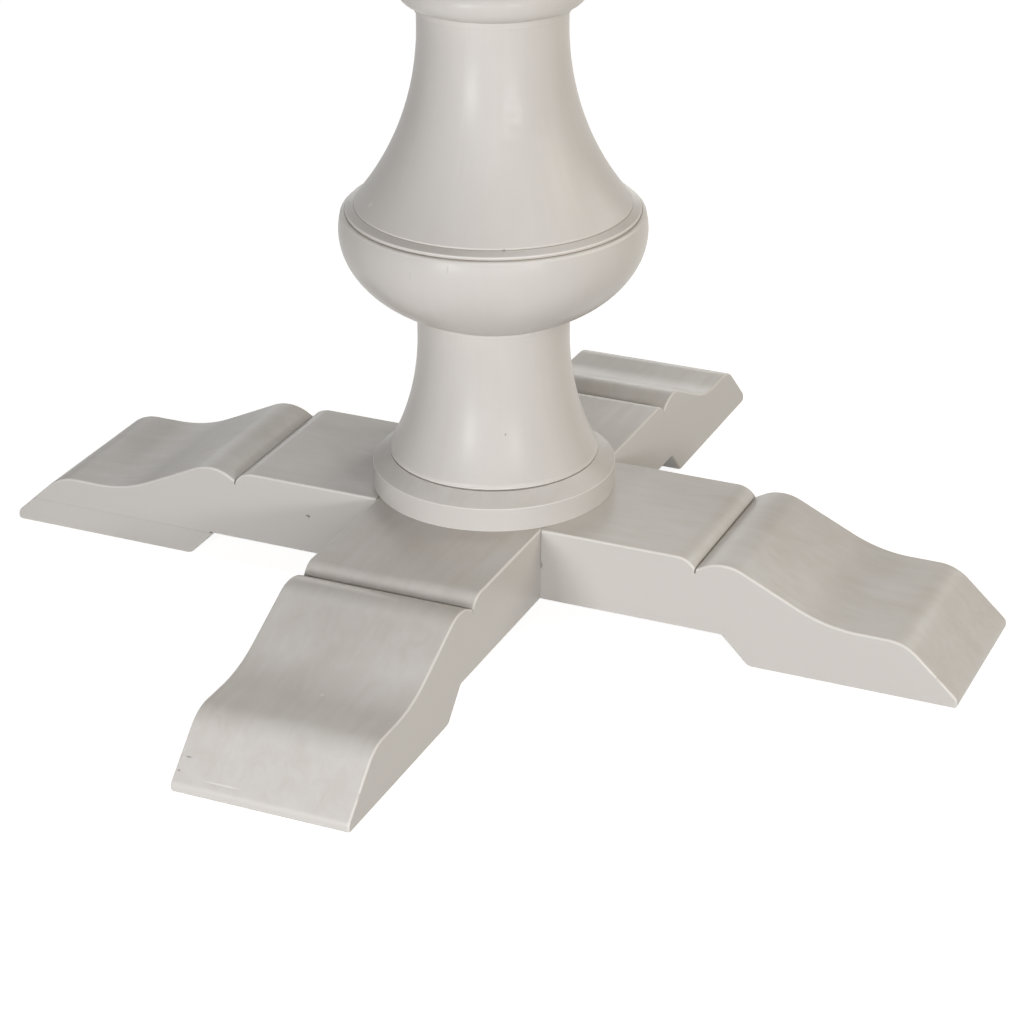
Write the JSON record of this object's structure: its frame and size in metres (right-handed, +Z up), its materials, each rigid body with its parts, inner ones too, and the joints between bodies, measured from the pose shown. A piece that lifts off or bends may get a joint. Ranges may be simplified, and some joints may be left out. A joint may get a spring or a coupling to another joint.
{
  "type": "pedestal table base",
  "caption": "Painted wooden pedestal table base: a turned column with a bulb and flared trumpets on a cross of ogee-ended floor beams, with drilled bearers for a table top.",
  "frame": {"origin": "on the floor, under the column's axis", "axes": "+Z up along the column's axis, +X along the lower beam's right arm, -Y along the upper beam's front arm"},
  "size_m": [0.866, 0.866, 0.72],
  "materials": {
    "painted_wood": "satin greige paint, brushed and sanded",
    "bare_wood": "fluted beech, unfinished",
    "zinc_plated_steel": "bright zinc plating"
  },
  "bodies": {
    "root": {"lower_beam": "painted_wood", "upper_beam": "painted_wood", "foot_pad_right": "painted_wood", "foot_pad_left": "painted_wood", "foot_pad_back": "painted_wood", "foot_pad_front": "painted_wood", "plinth_disc": "painted_wood", "column": "painted_wood", "lower_bearer": "painted_wood", "upper_bearer": "painted_wood", "tie_rod": "zinc_plated_steel", "tie_rod_nuts": "zinc_plated_steel", "tie_rod_washers": "zinc_plated_steel", "locating_dowels": "bare_wood", "bearer_screws": "zinc_plated_steel"}
  },
  "joints": []
}
